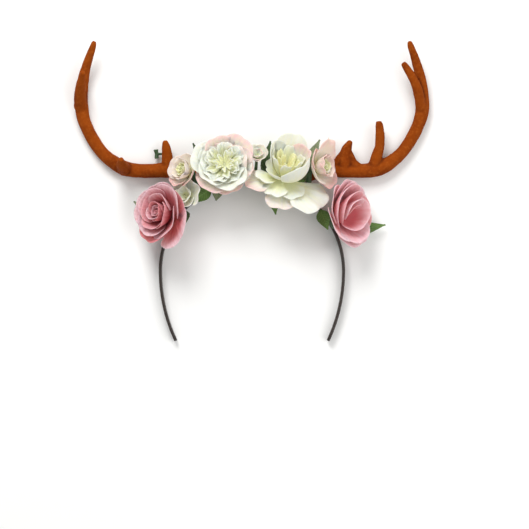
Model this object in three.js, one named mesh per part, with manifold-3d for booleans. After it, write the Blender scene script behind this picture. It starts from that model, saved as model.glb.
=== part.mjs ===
// Floral antler headband: a springy hair band that carries two flocked antlers and a row of cloth flowers.
// Millimetres and degrees. The band lies on its back edge at z = 0, the flowers face +Z,
// the antlers reach towards +Y, and the origin is the crown of the band's back edge.
import * as THREE from "three";
import { mergeVertices } from "three/addons/utils/BufferGeometryUtils.js";
import Module from "manifold-3d";

const wasm = await Module();
wasm.setup();

const DEG = Math.PI / 180;

// Clearances and cloth
const SEAT_GAP = 0.3;
const CLOTH_WALL = 1;
const LAYER_STEP = CLOTH_WALL + SEAT_GAP;
const MERGE_DISTANCE = 1e-4;

// The band: an arc over the crown, then legs that bend in towards the ends
const BAND = {
  crownRadius: 78.5,
  crownSweep: 90,
  legRadius: 140,
  legSweep: 24,
  thickness: 2.6,
  crownWidth: 14,
  endWidth: 9,
  taperFrom: 50,
  chamfer: 0.5,
  crownSteps: 23,
  legSteps: 5,
  tipLength: 3,
  tipInset: 2.5,
};

// The antlers: the beam is the same on both sides, measured outwards from the middle plane
const ANTLER_ROOT = { angle: 28, radius: 6.2, lift: 6.8, rise: 7 };
const BEAM = [
  { out: 51, up: 5.6, lift: 7.2, radius: 6.4 },
  { out: 62, up: 8, lift: 9, radius: 6.6 },
  { out: 77, up: 8, lift: 9.4, radius: 6.4 },
  { out: 93, up: 7.5, lift: 8.6, radius: 6 },
  { out: 108, up: 9.3, lift: 7.4, radius: 6.4 },
  { out: 119.5, up: 15.5, lift: 6.7, radius: 5.9 },
  { out: 129, up: 24, lift: 6, radius: 5.3 },
  { out: 138.5, up: 38, lift: 5.4, radius: 5.2 },
  { out: 145, up: 52, lift: 5.4, radius: 5.4 },
  { out: 147, up: 64, lift: 5.8, radius: 5.7 },
  { out: 146.4, up: 77, lift: 7.4, radius: 5.3 },
  { out: 144.5, up: 91, lift: 10.4, radius: 4.6 },
  { out: 141, up: 104, lift: 14, radius: 3.6 },
  { out: 135.5, up: 119, lift: 19, radius: 2 },
];
const BEAM_STEPS = 20;
const BEAM_SIDES = 10;
const TINE_STEPS = 7;
const TINE_SIDES = 7;
const BLUNT_TIP = 0.6;
const STEEP_START = 0.8;
// Tines: the right antler spreads them in its own plane, the left one is turned so that two of them face +Z
const TINES = {
  antler_right: {
    brow: [
      { out: 79, up: 6, lift: 9, radius: 6.4 },
      { out: 79.5, up: 17, lift: 9.8, radius: 6.6 },
      { out: 81.5, up: 27, lift: 12, radius: 4.2 },
      { out: 84.5, up: 33, lift: 14, radius: 2.1 },
    ],
    brow_inner_flare: [
      { out: 68, up: 9, lift: 9, radius: 5 },
      { out: 74, up: 15, lift: 9.4, radius: 4.8 },
      { out: 79, up: 23, lift: 10.8, radius: 3.6 },
    ],
    brow_outer_flare: [
      { out: 92, up: 8.6, lift: 8.8, radius: 4.6 },
      { out: 86, up: 14.5, lift: 9.4, radius: 4.6 },
      { out: 82.5, up: 23, lift: 10.8, radius: 3.6 },
    ],
    second: [
      { out: 106, up: 10, lift: 7.6, radius: 5.6 },
      { out: 107.3, up: 26, lift: 9.5, radius: 4.6 },
      { out: 109.8, up: 38, lift: 11.5, radius: 3.8 },
      { out: 109, up: 49, lift: 13, radius: 2.1 },
    ],
    fork: [
      { out: 146.2, up: 64, lift: 6.4, radius: 5 },
      { out: 142, up: 79, lift: 11, radius: 4.4 },
      { out: 136.5, up: 90, lift: 15, radius: 3.7 },
      { out: 130.5, up: 100, lift: 19, radius: 2.1 },
    ],
  },
  antler_left: {
    brow: [
      { out: 71.5, up: 6, lift: 9, radius: 6 },
      { out: 72.3, up: 17, lift: 10, radius: 5 },
      { out: 73.2, up: 27, lift: 12, radius: 4 },
      { out: 74.3, up: 33, lift: 14, radius: 2.1 },
    ],
    second: [
      { out: 109, up: 8.8, lift: 7.6, radius: 6 },
      { out: 110, up: 10.5, lift: 20, radius: 5.2 },
      { out: 110.5, up: 13, lift: 32, radius: 4 },
      { out: 110, up: 16, lift: 42, radius: 2.2 },
    ],
    fork: [
      { out: 147, up: 62, lift: 6.4, radius: 5.4 },
      { out: 146.8, up: 73, lift: 17, radius: 4.6 },
      { out: 145.4, up: 82, lift: 27, radius: 3.8 },
      { out: 143.4, up: 90, lift: 36, radius: 2.2 },
    ],
  },
};

// Stamped petal layers: slopes run from the hub to the rim, sway lays back the petals that face the band
const CREAM_OPEN_LAYERS = [
  { name: "outer", petals: 6, hub: 6, length: 23.5, rise: 10, close: 48, lip: 30, spread: 1.14, twist: 2.2,
    sway: 8, turn: 96, rows: 4 },
  { name: "middle", petals: 6, hub: 4.8, length: 19, rise: 36, close: 66, lip: 34, spread: 1.12, twist: 1.5,
    sway: 4, turn: 66, rows: 3 },
  { name: "inner", petals: 5, hub: 3.6, length: 14.5, rise: 56, close: 82, lip: 36, spread: 1.08, twist: 1.1,
    sway: 0, turn: 20, rows: 3 },
];
const CREAM_CUP_LAYERS = [
  { name: "outer", petals: 6, hub: 6, length: 33, rise: 6, close: 30, lip: 22, spread: 1.12, twist: 2.2,
    sway: 46, turn: 26, rows: 4 },
  { name: "middle", petals: 5, hub: 4.8, length: 36, rise: 42, close: 88, lip: 10, spread: 1.1, twist: 1.6,
    sway: 2, turn: 90, rows: 4 },
  { name: "inner", petals: 4, hub: 3.6, length: 22, rise: 54, close: 84, lip: 8, spread: 1.06, twist: 1.2,
    sway: 0, turn: 30, rows: 3 },
];
const BLUSH_LAYERS = [
  { name: "outer", petals: 5, hub: 4.6, length: 17, rise: 22, close: 64, lip: 22, spread: 1.08, twist: 1.6,
    sway: 0, turn: 90, rows: 4 },
  { name: "inner", petals: 4, hub: 3.4, length: 13, rise: 56, close: 90, lip: 16, spread: 1.04, twist: 1.1,
    sway: 0, turn: 40, rows: 3 },
];
const PINK_LAYERS = [
  { name: "outer", petals: 5, hub: 5.6, length: 27, rise: 12, close: 54, lip: 32, spread: 1.12, twist: 2.2,
    sway: 0, turn: 90, rows: 4 },
  { name: "middle", petals: 5, hub: 4.4, length: 21, rise: 38, close: 76, lip: 24, spread: 1.1, twist: 1.5,
    sway: 0, turn: 54, rows: 3 },
  { name: "inner", petals: 3, hub: 3.3, length: 17, rise: 64, close: 98, lip: 12, spread: 1.02, twist: 1.2,
    sway: 0, turn: 15, rows: 3 },
];
const BUD_LAYERS = [
  { name: "petals", petals: 4, hub: 3.4, length: 12, rise: 34, close: 84, lip: 10, spread: 1.04, twist: 1.2,
    sway: 0, turn: 45, rows: 3 },
];
const PETAL = { columns: 4, hubFill: 0.86, fillTurn: 0.9, shoulder: 0.3, lipFrom: 0.6, lineSteps: 12 };

// Calyxes as rows of share of the ball or of the hub, and hearts as fractions of their radius and height
const CALYX = {
  sides: 6,
  reach: 2,
  ball: [
    { rise: -0.98, radius: 0.2 },
    { rise: -0.6, radius: 0.8 },
    { rise: 0, radius: 1 },
    { rise: 0.7, radius: 0.7 },
  ],
  cup: [
    { drop: 0.8, radius: 0.45 },
    { drop: 0, radius: 0.85 },
  ],
};
const HEART = { segments: 6, foot: 0.7, bellyAt: 0.4, shoulder: 0.6, shoulderAt: 0.85 };

// Flowers: angle of the foot along the band from the crown, hub point, facing as heading clockwise
// from +Y and tilt from +Z, and trims of the petals one by one, layer after layer
const FLOWERS = [
  { name: "cream_rose_left", angle: -16.5, hub: { x: -22.7, y: 10, z: 32 }, heading: -12, tilt: 16, ball: 4.5,
    size: 1, finish: "cream", layers: CREAM_OPEN_LAYERS, heart: { radius: 2.4, height: 9 } },
  { name: "cream_rose_right", angle: 19, hub: { x: 26.5, y: 1, z: 30 }, heading: 14, tilt: 50, ball: 4.5,
    size: 1, finish: "cream", layers: CREAM_CUP_LAYERS, heart: { radius: 2.4, height: 14 },
    trims: [[0.2, 0.2, 0.4, 0.75, 0.85, 1.05], [1, 0.84, 0.52, 0.74, 0.84]] },
  { name: "blush_rose_left", angle: -36, hub: { x: -53, y: 5.5, z: 29 }, heading: -70, tilt: 50, ball: 3.2,
    size: 1, finish: "blush", layers: BLUSH_LAYERS, heart: { radius: 2, height: 7 },
    trims: [[1, 0.9, 0.7, 0.55, 0.75]] },
  { name: "blush_rose_right", angle: 37, hub: { x: 54, y: 9, z: 29 }, heading: 82, tilt: 57, ball: 3.2,
    size: 1.1, finish: "blush", layers: BLUSH_LAYERS, heart: { radius: 2, height: 7 },
    trims: [[0.8, 1.3, 0.8, 0.85, 1]] },
  { name: "pink_rose_left", angle: -60, hub: { x: -70.4, y: -29.9, z: 25.5 }, heading: -80, tilt: 44, ball: 4,
    size: 1, finish: "pink", layers: PINK_LAYERS, heart: { radius: 2.2, height: 10 },
    trims: [[1, 1, 1, 0.9, 0.92]] },
  { name: "pink_rose_right", angle: 60, hub: { x: 73.8, y: -30.9, z: 26 }, heading: 80, tilt: 52, ball: 4,
    size: 1, finish: "pink", layers: PINK_LAYERS, heart: { radius: 2.2, height: 10 } },
  { name: "bud_left", angle: -43, hub: { x: -55.5, y: -14.5, z: 24 }, heading: -60, tilt: 20, ball: 2.4,
    size: 0.88, finish: "cream", layers: BUD_LAYERS },
  { name: "bud_crown", angle: 2, hub: { x: 4.4, y: 19, z: 31 }, heading: 5, tilt: 30, ball: 2.4,
    size: 0.66, finish: "cream", layers: BUD_LAYERS },
];

// Leaves: heading clockwise from +Y, pitch up from the floor plane, stalk on the band's front edge
// or, with a lift, on its outer face
const LEAVES = [
  { name: "leaf_crown", angle: 9, heading: 6, pitch: 8,
    length: 34, width: 13, arch: 3, finish: "leaf_dark" },
  { name: "leaf_left_top", angle: -24, heading: -26, pitch: 7,
    length: 42, width: 12, arch: 1, finish: "leaf_dark" },
  { name: "leaf_right_top", angle: 28, heading: 26, pitch: 5,
    length: 48, width: 14, arch: 1, finish: "leaf_grey" },
  { name: "leaf_right_side", angle: 26, heading: 56, pitch: 44,
    length: 18, width: 12, arch: 2, finish: "leaf" },
  { name: "leaf_left_low", angle: -26, heading: -124, pitch: 22,
    length: 23, width: 12, arch: 2, finish: "leaf" },
  { name: "leaf_left_pale", angle: -21, heading: 190, pitch: 26,
    length: 15, width: 11, arch: 2, finish: "leaf_grey" },
  { name: "leaf_right_low", angle: 12, heading: 172, pitch: 16,
    length: 30, width: 12, arch: 2, finish: "leaf" },
  { name: "leaf_bud", angle: -48, heading: 176, pitch: 20,
    length: 14, width: 11, arch: 2, finish: "leaf_dark" },
  { name: "leaf_pink_left", angle: -62, heading: -54, pitch: 2,
    length: 38, width: 15, arch: 2, lift: 6, finish: "leaf_grey" },
  { name: "leaf_pink_right_in", angle: 48, heading: 160, pitch: 24,
    length: 20, width: 12, arch: 2, finish: "leaf" },
  { name: "leaf_pink_right_out", angle: 66, heading: 80, pitch: 2,
    length: 42, width: 12, arch: 2, lift: 6, finish: "leaf" },
];
const LEAF = { rows: 5, stalkHalf: 1, fullness: 0.85, crease: 0.25 };

// Sprig: a wire stalk that runs under the left antler, with a crossbar of two small buds
const SPRIG = {
  steps: 8,
  sides: 6,
  stalk: [
    { out: 57, up: -21.5, lift: 6, radius: 0.8 },
    { out: 62.5, up: -10, lift: 1.4, radius: 0.8 },
    { out: 67.5, up: 4, lift: 1.2, radius: 0.8 },
    { out: 71, up: 16, lift: 2, radius: 0.8 },
    { out: 75, up: 21.5, lift: 4, radius: 0.9 },
    { out: 81.5, up: 22.2, lift: 5, radius: 1.2 },
  ],
  crossbar: [
    { out: 82.4, up: 26, lift: 5.2, radius: 2.2 },
    { out: 82, up: 22.2, lift: 5, radius: 1.4 },
    { out: 81.6, up: 18.2, lift: 4.8, radius: 2 },
  ],
};

// Finishes
const FINISHES = {
  band: { color: 0x1e140c, roughness: 0.55 },
  flock: { color: 0xb24b10, roughness: 0.95 },
  cream: { color: 0xeeecde, roughness: 0.8 },
  blush: { color: 0xe8c8bd, roughness: 0.8 },
  pink: { color: 0xc8707f, roughness: 0.8 },
  heart: { color: 0xd4d88c, roughness: 0.8 },
  calyx: { color: 0x4b6e41, roughness: 0.6 },
  leaf: { color: 0x4b6e41, roughness: 0.7 },
  leaf_dark: { color: 0x3c5537, roughness: 0.7 },
  leaf_grey: { color: 0x78876e, roughness: 0.7 },
};

const headpiece = new THREE.Group();

// One named piece with a material of its own
function piece(name, geometry, finish, parent = headpiece) {
  const material = new THREE.MeshStandardMaterial({ metalness: 0, ...FINISHES[finish] });
  const mesh = new THREE.Mesh(geometry, material);
  mesh.name = name;
  parent.add(mesh);
  return mesh;
}

// Indexed geometry from points and triangles, turned so that its faces point out
function closedGeometry(points, triangles) {
  const volume = triangles.reduce((sum, [a, b, c]) => {
    return sum + points[a].dot(new THREE.Vector3().crossVectors(points[b], points[c]));
  }, 0);
  const facing = volume > 0 ? triangles : triangles.map(([a, b, c]) => [a, c, b]);
  const geometry = new THREE.BufferGeometry().setFromPoints(points);
  geometry.setIndex(facing.flat());
  return geometry;
}

// Closed skin over a row of equal rings, with a fan from a pole at each end
function skin(rings, firstPole, lastPole) {
  const sides = rings[0].length;
  const points = [firstPole, ...rings.flat(), lastPole];
  const at = (ring, side) => 1 + ring * sides + (side % sides);
  const triangles = [];
  for (let side = 0; side < sides; side++) {
    triangles.push([0, at(0, side + 1), at(0, side)]);
    for (let ring = 0; ring + 1 < rings.length; ring++) {
      triangles.push([at(ring, side), at(ring, side + 1), at(ring + 1, side + 1)]);
      triangles.push([at(ring, side), at(ring + 1, side + 1), at(ring + 1, side)]);
    }
    triangles.push([points.length - 1, at(rings.length - 1, side), at(rings.length - 1, side + 1)]);
  }
  return closedGeometry(points, triangles);
}

// Wall of even thickness about a sheet of middle points, with a rim along its border loop
function wall(middles, normals, faces, border) {
  const half = CLOTH_WALL / 2;
  const shifted = (reach) => middles.map((point, n) => point.clone().addScaledVector(normals[n], reach));
  const count = middles.length;
  const triangles = faces.flatMap(([a, b, c]) => [[a, b, c], [a + count, c + count, b + count]]);
  border.forEach((a, n) => {
    const b = border[(n + 1) % border.length];
    triangles.push([a + count, b + count, b], [a + count, b, a]);
  });
  return closedGeometry([...shifted(half), ...shifted(-half)], triangles);
}

// Place on the band's middle line, its outward direction and the strip's width there
function bandFrame(angle) {
  const { crownRadius, crownSweep, legRadius, legSweep, crownWidth, endWidth, taperFrom } = BAND;
  const side = Math.sign(angle) || 1;
  const crown = Math.min(Math.abs(angle), crownSweep) * DEG;
  const bend = Math.max(Math.abs(angle) - crownSweep, 0) * DEG;
  const taper = THREE.MathUtils.smoothstep(Math.abs(angle), taperFrom, crownSweep + legSweep);
  return {
    middle: new THREE.Vector3(
      side * (crownRadius * Math.sin(crown) - legRadius * (1 - Math.cos(bend))),
      crownRadius * (Math.cos(crown) - 1) - legRadius * Math.sin(bend),
      0,
    ),
    outward: new THREE.Vector3(Math.sin(angle * DEG), Math.cos(angle * DEG), 0),
    width: THREE.MathUtils.lerp(crownWidth, endWidth, taper),
  };
}

// Chamfered strip section at a place on the band
function bandSection(middle, outward, low, high) {
  const half = BAND.thickness / 2;
  const flat = half - BAND.chamfer;
  const corners = [
    [flat, low], [half, low + BAND.chamfer], [half, high - BAND.chamfer], [flat, high],
    [-flat, high], [-half, high - BAND.chamfer], [-half, low + BAND.chamfer], [-flat, low],
  ];
  return corners.map(([out, z]) => middle.clone().addScaledVector(outward, out).setZ(z));
}

// Headband: the strip swept along the arc and legs, with rounded-down tips
function headband() {
  const { crownSweep, crownSteps, legSweep, legSteps, tipLength, tipInset } = BAND;
  const angles = [];
  for (let n = -legSteps; n <= crownSteps + legSteps; n++) {
    const overCrown = THREE.MathUtils.clamp(n, 0, crownSteps);
    const onLeg = n - overCrown;
    angles.push(-crownSweep + (2 * crownSweep * overCrown) / crownSteps + (legSweep * onLeg) / legSteps);
  }
  const rings = angles.map((angle) => {
    const { middle, outward, width } = bandFrame(angle);
    return bandSection(middle, outward, 0, width);
  });
  const tip = (angle) => {
    const { middle, outward, width } = bandFrame(angle);
    const along = new THREE.Vector3(outward.y, -outward.x, 0).multiplyScalar(Math.sign(angle) * tipLength);
    const centre = middle.clone().add(along);
    return { ring: bandSection(centre, outward, tipInset, width - tipInset), pole: centre.setZ(width / 2) };
  };
  const first = tip(angles[0]);
  const last = tip(angles[angles.length - 1]);
  piece("headband", skin([first.ring, ...rings, last.ring], first.pole, last.pole), "band");
}

// Tapering round limb through stations of point and radius, closed with a tip of a share of the last radius
function limb(stations, steps, sides, tip = BLUNT_TIP) {
  const path = new THREE.CatmullRomCurve3(stations.map((station) => station.point), false, "centripetal");
  const spans = stations.length - 1;
  const across = new THREE.Vector3(0, 0, 1);
  if (Math.abs(path.getTangent(0).z) > STEEP_START) {
    across.set(1, 0, 0);
  }
  const rings = [];
  for (let step = 0; step <= steps; step++) {
    const t = step / steps;
    const station = Math.min(Math.floor(t * spans), spans - 1);
    const part = t * spans - station;
    const radius = THREE.MathUtils.lerp(stations[station].radius, stations[station + 1].radius, part);
    const centre = path.getPoint(t);
    const tangent = path.getTangent(t);
    across.addScaledVector(tangent, -across.dot(tangent)).normalize();
    const third = new THREE.Vector3().crossVectors(tangent, across);
    const ring = [];
    for (let side = 0; side < sides; side++) {
      const turn = (2 * Math.PI * side) / sides;
      ring.push(
        centre.clone()
          .addScaledVector(across, radius * Math.cos(turn))
          .addScaledVector(third, radius * Math.sin(turn)),
      );
    }
    rings.push(ring);
  }
  const end = stations[spans];
  const apex = end.point.clone().addScaledVector(path.getTangent(1), end.radius * tip);
  return skin(rings, stations[0].point.clone(), apex);
}

// Solid for joining, with its doubled corners merged
function solid(geometry) {
  const bare = geometry.clone();
  bare.deleteAttribute("normal");
  bare.deleteAttribute("uv");
  const merged = mergeVertices(bare, MERGE_DISTANCE);
  return new wasm.Manifold(new wasm.Mesh({
    numProp: 3,
    vertProperties: new Float32Array(merged.attributes.position.array),
    triVerts: new Uint32Array(merged.index.array),
  }));
}

function geometryOf(manifold) {
  const mesh = manifold.getMesh();
  const geometry = new THREE.BufferGeometry();
  geometry.setAttribute("position", new THREE.BufferAttribute(mesh.vertProperties, 3));
  geometry.setIndex(new THREE.BufferAttribute(mesh.triVerts, 1));
  return geometry;
}

// Antler: beam and tines joined, the root's end face on the band and its lowest point on the floor plane
function antler(name, side) {
  const station = (row) => ({
    point: new THREE.Vector3(side * row.out, row.up, row.lift),
    radius: row.radius,
  });
  const { angle, radius, lift, rise } = ANTLER_ROOT;
  const { middle, outward } = bandFrame(side * angle);
  const rootAt = (reach) => ({
    point: middle.clone().addScaledVector(outward, BAND.thickness / 2 + SEAT_GAP + reach).setZ(lift),
    radius,
  });
  const beam = [rootAt(0), rootAt(rise), ...BEAM.map(station)];
  const tines = Object.values(TINES[name]).map((rows) => limb(rows.map(station), TINE_STEPS, TINE_SIDES));
  const joined = tines.reduce((sum, tine) => sum.add(solid(tine)), solid(limb(beam, BEAM_STEPS, BEAM_SIDES)));
  const geometry = geometryOf(joined);
  geometry.computeBoundingBox();
  piece(name, geometry, "flock").position.z = -geometry.boundingBox.min.z;
}

// Slope of a petal above its hub's plane, in radians, at a fraction of its length
function petalSlope(row, lean, t) {
  const roll = Math.max(0, (t - PETAL.lipFrom) / (1 - PETAL.lipFrom));
  return (row.rise + lean + (row.close - row.rise) * t - row.lip * roll * roll) * DEG;
}

// Point of a petal's middle line as distance from the axis and height above the hub
function petalLine(row, lean, t) {
  const steps = PETAL.lineSteps;
  const stride = (row.length * t) / steps;
  let out = row.hub;
  let up = 0;
  for (let step = 0; step < steps; step++) {
    const slope = petalSlope(row, lean, (t * (step + 0.5)) / steps);
    out += stride * Math.cos(slope);
    up += stride * Math.sin(slope);
  }
  return { out, up };
}

// Stamped layer: petals round a flat hub, each cupped, rolled at the lip and lapped over the next
function petalLayer(row) {
  const across = PETAL.columns;
  const along = row.rows;
  const middles = [new THREE.Vector3()];
  const normals = [new THREE.Vector3(0, 0, 1)];
  const faces = [];
  const border = [];
  const hubRing = [];
  for (let petal = 0; petal < row.petals; petal++) {
    const heading = (row.turn + (360 * petal) / row.petals) * DEG;
    const lean = row.sway * Math.sin(heading);
    const trim = row.trims ? row.trims[petal] : 1;
    const first = middles.length;
    const at = (i, j) => first + i * (along + 1) + j;
    for (let i = 0; i <= across; i++) {
      const s = (2 * i) / across - 1;
      const shoulder = 1 - PETAL.shoulder * Math.abs(s) ** 3;
      for (let j = 0; j <= along; j++) {
        const t = (j / along) * shoulder * trim;
        const slope = petalSlope(row, lean, t);
        const { out, up } = petalLine(row, lean, t);
        const fill = PETAL.hubFill + (row.spread - PETAL.hubFill) * Math.sin(Math.PI * PETAL.fillTurn * t);
        const bearing = heading + (s * fill * Math.PI) / row.petals;
        const lap = row.twist * s * t;
        const normal = new THREE.Vector3(-Math.sin(slope), 0, Math.cos(slope));
        const point = new THREE.Vector3(out, 0, up).addScaledVector(normal, lap);
        middles.push(point.applyAxisAngle(new THREE.Vector3(0, 0, 1), bearing));
        normals.push(normal.applyAxisAngle(new THREE.Vector3(0, 0, 1), bearing));
      }
      hubRing.push(at(i, 0));
    }
    for (let i = 0; i < across; i++) {
      for (let j = 0; j < along; j++) {
        faces.push([at(i, j), at(i, j + 1), at(i + 1, j + 1)], [at(i, j), at(i + 1, j + 1), at(i + 1, j)]);
      }
    }
    for (let j = 0; j <= along; j++) {
      border.push(at(0, j));
    }
    for (let i = 1; i < across; i++) {
      border.push(at(i, along));
    }
    for (let j = along; j >= 0; j--) {
      border.push(at(across, j));
    }
  }
  hubRing.forEach((a, n) => faces.push([0, a, hubRing[(n + 1) % hubRing.length]]));
  return wall(middles, normals, faces, border);
}

// Solid turned about the flower's axis from rows of radius and height
function turned(rows, segments) {
  const profile = rows.map(([radius, height]) => new THREE.Vector2(radius, height));
  return new THREE.LatheGeometry(profile, segments).rotateX(Math.PI / 2);
}

// Calyx: a ball that sits on the band's front edge, a bent stem, and a cup under the petals
function calyx(row, facing, hubRadius) {
  const { middle, outward, width } = bandFrame(row.angle);
  const foot = middle.addScaledVector(outward, CALYX.reach).setZ(width + SEAT_GAP + row.ball);
  const top = new THREE.Vector3(row.hub.x, row.hub.y, row.hub.z)
    .addScaledVector(facing, -CLOTH_WALL / 2 - SEAT_GAP);
  const stations = [
    ...CALYX.ball.map(({ rise, radius }) => ({
      point: foot.clone().setZ(foot.z + rise * row.ball),
      radius: radius * row.ball,
    })),
    ...CALYX.cup.map(({ drop, radius }) => ({
      point: top.clone().addScaledVector(facing, -drop * hubRadius),
      radius: radius * hubRadius,
    })),
  ];
  piece(`${row.name}_calyx`, limb(stations, stations.length - 1, CALYX.sides, 0), "calyx");
}

// Heart: a plain pointed core inside the petals
function heartProfile({ radius, height }) {
  return [
    [0, 0],
    [radius * HEART.foot, 0],
    [radius, height * HEART.bellyAt],
    [radius * HEART.shoulder, height * HEART.shoulderAt],
    [0, height],
  ];
}

// Flower: calyx, petal layers and heart about the axis that the flower faces along
function flower(row) {
  const group = new THREE.Group();
  group.position.set(row.hub.x, row.hub.y, row.hub.z);
  group.rotation.set(-row.tilt * DEG, 0, -row.heading * DEG, "ZXY");
  headpiece.add(group);
  const layers = row.layers.map((layer, n) => ({
    ...layer,
    hub: layer.hub * row.size,
    length: layer.length * row.size,
    trims: row.trims?.[n],
  }));
  calyx(row, new THREE.Vector3(0, 0, 1).applyEuler(group.rotation), layers[0].hub);
  layers.forEach((layer, n) => {
    const mesh = piece(`${row.name}_${layer.name}`, petalLayer(layer), row.finish, group);
    mesh.position.z = n * LAYER_STEP;
  });
  if (row.heart) {
    const heart = turned(heartProfile(row.heart), HEART.segments);
    const mesh = piece(`${row.name}_heart`, heart, "heart", group);
    mesh.position.z = layers.length * LAYER_STEP - CLOTH_WALL / 2;
  }
}

// Leaf: a pointed sheet creased along its midrib, its stalk on the band's front edge
function leaf(row) {
  const middles = [];
  const normals = [];
  const faces = [];
  for (let j = 0; j <= LEAF.rows; j++) {
    const t = j / LEAF.rows;
    const half = Math.max((row.width / 2) * Math.sin(Math.PI * t ** LEAF.fullness), LEAF.stalkHalf);
    const bow = row.arch * Math.sin(Math.PI * t);
    for (const s of [-1, 0, 1]) {
      middles.push(new THREE.Vector3(s * half, row.length * t, bow + LEAF.crease * half * Math.abs(s)));
      normals.push(new THREE.Vector3(0, 0, 1));
    }
  }
  const at = (i, j) => 3 * j + i;
  for (let j = 0; j < LEAF.rows; j++) {
    for (const i of [0, 1]) {
      faces.push([at(i, j), at(i + 1, j), at(i + 1, j + 1)], [at(i, j), at(i + 1, j + 1), at(i, j + 1)]);
    }
  }
  const border = [at(0, 0), at(1, 0)];
  for (let j = 0; j <= LEAF.rows; j++) {
    border.push(at(2, j));
  }
  border.push(at(1, LEAF.rows));
  for (let j = LEAF.rows; j > 0; j--) {
    border.push(at(0, j));
  }
  const { middle, outward, width } = bandFrame(row.angle);
  const reach = row.lift ? BAND.thickness / 2 + SEAT_GAP : 0;
  const mesh = piece(row.name, wall(middles, normals, faces, border), row.finish);
  mesh.position.copy(middle).addScaledVector(outward, reach).setZ(row.lift ?? width + SEAT_GAP + CLOTH_WALL);
  mesh.rotation.set(row.pitch * DEG, 0, -row.heading * DEG, "ZXY");
}

// Sprig: stalk and crossbar joined
function sprig() {
  const station = (row) => ({ point: new THREE.Vector3(-row.out, row.up, row.lift), radius: row.radius });
  const wire = (rows) => solid(limb(rows.map(station), SPRIG.steps, SPRIG.sides));
  piece("sprig_left", geometryOf(wire(SPRIG.stalk).add(wire(SPRIG.crossbar))), "calyx");
}

headband();
antler("antler_left", -1);
antler("antler_right", 1);
FLOWERS.forEach(flower);
LEAVES.forEach(leaf);
sprig();

export default headpiece;
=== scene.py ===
"""Floral antler headband: flocked antlers and a row of cloth roses on a springy hair band."""
import math
import random
from collections import namedtuple

import bpy
from mathutils import Matrix, Vector


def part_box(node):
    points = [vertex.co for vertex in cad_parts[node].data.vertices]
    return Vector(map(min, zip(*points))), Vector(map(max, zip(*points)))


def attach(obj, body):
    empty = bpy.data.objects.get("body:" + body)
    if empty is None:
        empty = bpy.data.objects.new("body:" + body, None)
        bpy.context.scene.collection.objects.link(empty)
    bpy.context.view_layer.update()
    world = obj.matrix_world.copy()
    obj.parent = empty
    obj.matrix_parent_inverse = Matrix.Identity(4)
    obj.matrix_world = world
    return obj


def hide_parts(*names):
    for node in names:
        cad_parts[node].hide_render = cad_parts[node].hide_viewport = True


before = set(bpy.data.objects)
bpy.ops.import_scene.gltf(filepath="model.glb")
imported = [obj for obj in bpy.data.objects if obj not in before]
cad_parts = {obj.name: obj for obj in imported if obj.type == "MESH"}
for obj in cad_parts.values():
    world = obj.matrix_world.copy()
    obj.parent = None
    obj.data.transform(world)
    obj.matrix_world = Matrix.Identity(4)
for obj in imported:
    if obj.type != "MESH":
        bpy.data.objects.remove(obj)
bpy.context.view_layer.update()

bl_info = {
    "name": "Floral Antler Headband",
    "version": (1, 0, 0),
    "blender": (4, 5, 0),
    "location": "3D View > Sidebar > Headpiece",
    "description": "Dresses the headband's frame with cloth roses, leaves and flocked antlers",
    "category": "Object",
}

# Tables below are in millimetres and degrees; MM brings them to metres
MM = 0.001
SEAT_GAP = 0.3
SIDES = {"left": -1, "right": 1}

Station = namedtuple("Station", "out up lift radius")
Ring = namedtuple(
    "Ring",
    "part petals hub length rise close lip spread twist sway turn cup ruffle waves lift arc depth skew",
    defaults=(0,),
)
Flower = namedtuple("Flower", "name kind angle hub heading tilt ball size trims blush")
Leaf = namedtuple("Leaf", "name finish angle heading pitch length width arch lift")

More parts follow.
